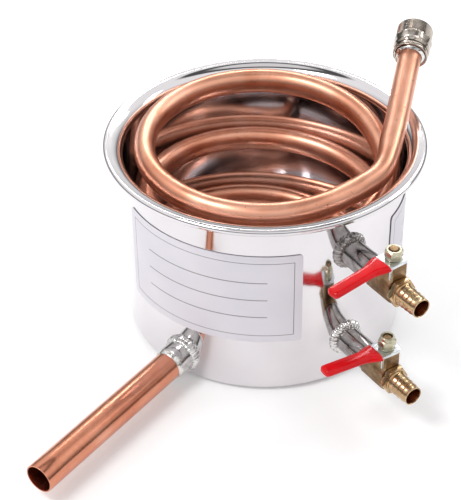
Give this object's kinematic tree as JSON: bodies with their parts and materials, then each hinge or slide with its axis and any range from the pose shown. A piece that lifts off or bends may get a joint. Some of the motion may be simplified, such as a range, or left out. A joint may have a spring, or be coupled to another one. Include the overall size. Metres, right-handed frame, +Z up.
{
  "type": "coil-in-pot chiller",
  "caption": "Open steel pot with a copper tube coil inside, a threaded inlet above the lip, a long outlet tube and two lever ball valves with hose barbs.",
  "frame": {"origin": "middle of the pot's flat underside", "axes": "+Z up along the pot's axis, -Y towards the front of the pot, where the label is; the valves are at front right and the outlet at front left"},
  "size_m": [0.2567, 0.2917, 0.1756],
  "materials": {
    "polished_steel": "mirror-polished stainless steel",
    "weld_steel": "as welded, rippled",
    "copper": "bright drawn copper, lightly tarnished",
    "nickel_plate": "turned and nickel plated",
    "solder": "bright solder",
    "brass": "machined and forged brass",
    "ball_plate": "plated and polished",
    "ptfe": "satin",
    "zinc_plate": "bright zinc plate",
    "yellow_zinc": "yellow-passivated zinc plate",
    "red_vinyl": "glossy dipped vinyl",
    "label_paper": "coated paper, satin"
  },
  "bodies": {
    "vessel": {"pot_shell": "polished_steel", "front_label": "label_paper", "side_label": "label_paper", "coil_tube": "copper", "inlet_adapter": "nickel_plate", "inlet_sleeve": "nickel_plate", "inlet_solder": "solder", "outlet_collar": "polished_steel", "outlet_weld": "weld_steel", "outlet_tube": "copper", "outlet_solder": "solder", "coil_end_braze": "solder", "upper_nipple": "polished_steel", "upper_nipple_weld": "weld_steel", "upper_valve_body": "brass", "upper_barb_tail": "brass", "upper_inner_seat": "ptfe", "upper_outer_seat": "ptfe", "upper_stem_packing": "ptfe", "lower_nipple": "polished_steel", "lower_nipple_weld": "weld_steel", "lower_valve_body": "brass", "lower_barb_tail": "brass", "lower_inner_seat": "ptfe", "lower_outer_seat": "ptfe", "lower_stem_packing": "ptfe"},
    "upper_lever_set": {"upper_ball": "ball_plate", "upper_stem": "brass", "upper_lever": "zinc_plate", "upper_lever_grip": "red_vinyl", "upper_washer": "yellow_zinc", "upper_lever_nut": "yellow_zinc"},
    "lower_lever_set": {"lower_ball": "ball_plate", "lower_stem": "brass", "lower_lever": "zinc_plate", "lower_lever_grip": "red_vinyl", "lower_washer": "yellow_zinc", "lower_lever_nut": "yellow_zinc"}
  },
  "joints": [
    {"name": "upper_valve_turn", "type": "hinge", "parent": "vessel", "child": "upper_lever_set", "pos_m": [0.07162, -0.11028, 0.119], "axis": [0, 0, 1], "range_deg": [0, 90]},
    {"name": "lower_valve_turn", "type": "hinge", "parent": "vessel", "child": "lower_lever_set", "pos_m": [0.0714, -0.10995, 0.0507], "axis": [0, 0, 1], "range_deg": [0, 90]}
  ]
}
